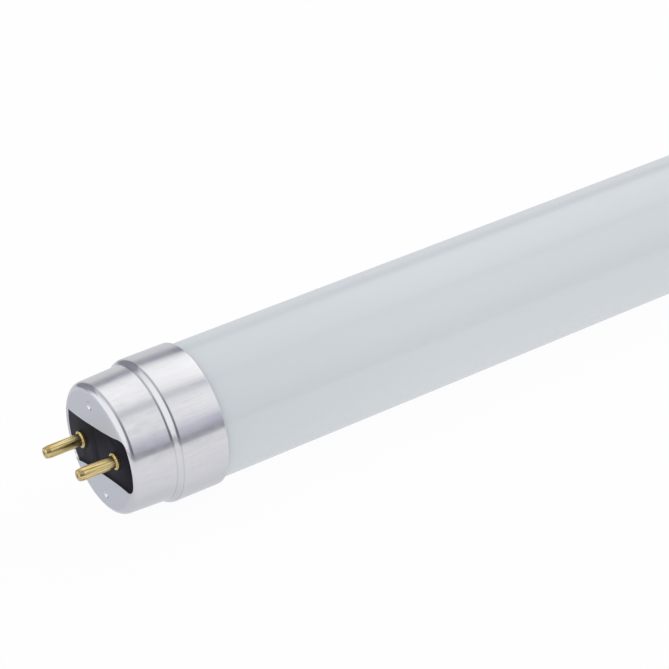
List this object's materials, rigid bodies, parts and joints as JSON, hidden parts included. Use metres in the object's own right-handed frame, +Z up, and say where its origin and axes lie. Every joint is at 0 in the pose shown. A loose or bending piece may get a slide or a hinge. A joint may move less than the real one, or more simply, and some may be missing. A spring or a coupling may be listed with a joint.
{
  "type": "led tube",
  "caption": "Straight milky glass LED tube with a pinned aluminium cap at each end, holding an LED strip and its driver.",
  "frame": {"origin": "on the tube's axis, midway between the two caps", "axes": "+X along the tube from the live end to the far end, +Y along the line through a cap's two pins, +Z up, away from the LED board's weight"},
  "size_m": [0.604, 0.027, 0.027],
  "materials": {
    "opal_glass": "milky drawn glass, glossy outside",
    "cap_aluminium": "drawn and finely brushed, satin",
    "carrier_plastic": "moulded, satin black",
    "pin_brass": "drawn brass, lightly polished",
    "silicone": "cured white silicone",
    "board_aluminium": "white solder mask on aluminium",
    "led_body": "moulded white",
    "led_phosphor": "yellow phosphor in silicone",
    "sleeve_film": "white insulating film",
    "driver_laminate": "green solder mask on laminate",
    "fuse_coating": "lacquered",
    "film_coating": "dipped epoxy",
    "package_plastic": "moulded black epoxy",
    "ferrite": "sintered ferrite",
    "winding_copper": "enamelled copper wire",
    "capacitor_film": "shrunk plastic film on an aluminium can",
    "lead_white": "wire insulation",
    "lead_red": "wire insulation",
    "lead_black": "wire insulation"
  },
  "bodies": {
    "root": {"glass_tube": "opal_glass", "live_cap_shell": "cap_aluminium", "far_cap_shell": "cap_aluminium", "live_pin_carrier": "carrier_plastic", "far_pin_carrier": "carrier_plastic", "live_pin_left": "pin_brass", "live_pin_right": "pin_brass", "far_pin_left": "pin_brass", "far_pin_right": "pin_brass", "live_cap_adhesive": "silicone", "far_cap_adhesive": "silicone", "board_adhesive": "silicone", "led_board": "board_aluminium", "led_packages": "led_body", "led_phosphor": "led_phosphor", "driver_sleeve": "sleeve_film", "driver_board": "driver_laminate", "fuse_resistor": "fuse_coating", "film_capacitor": "film_coating", "bridge_rectifier": "package_plastic", "driver_chip": "package_plastic", "freewheel_diode": "package_plastic", "choke_core": "ferrite", "choke_winding": "winding_copper", "output_capacitor": "capacitor_film", "live_lead_left": "lead_white", "live_lead_right": "lead_white", "far_link": "lead_white", "output_lead_plus": "lead_red", "output_lead_minus": "lead_black"}
  },
  "joints": []
}
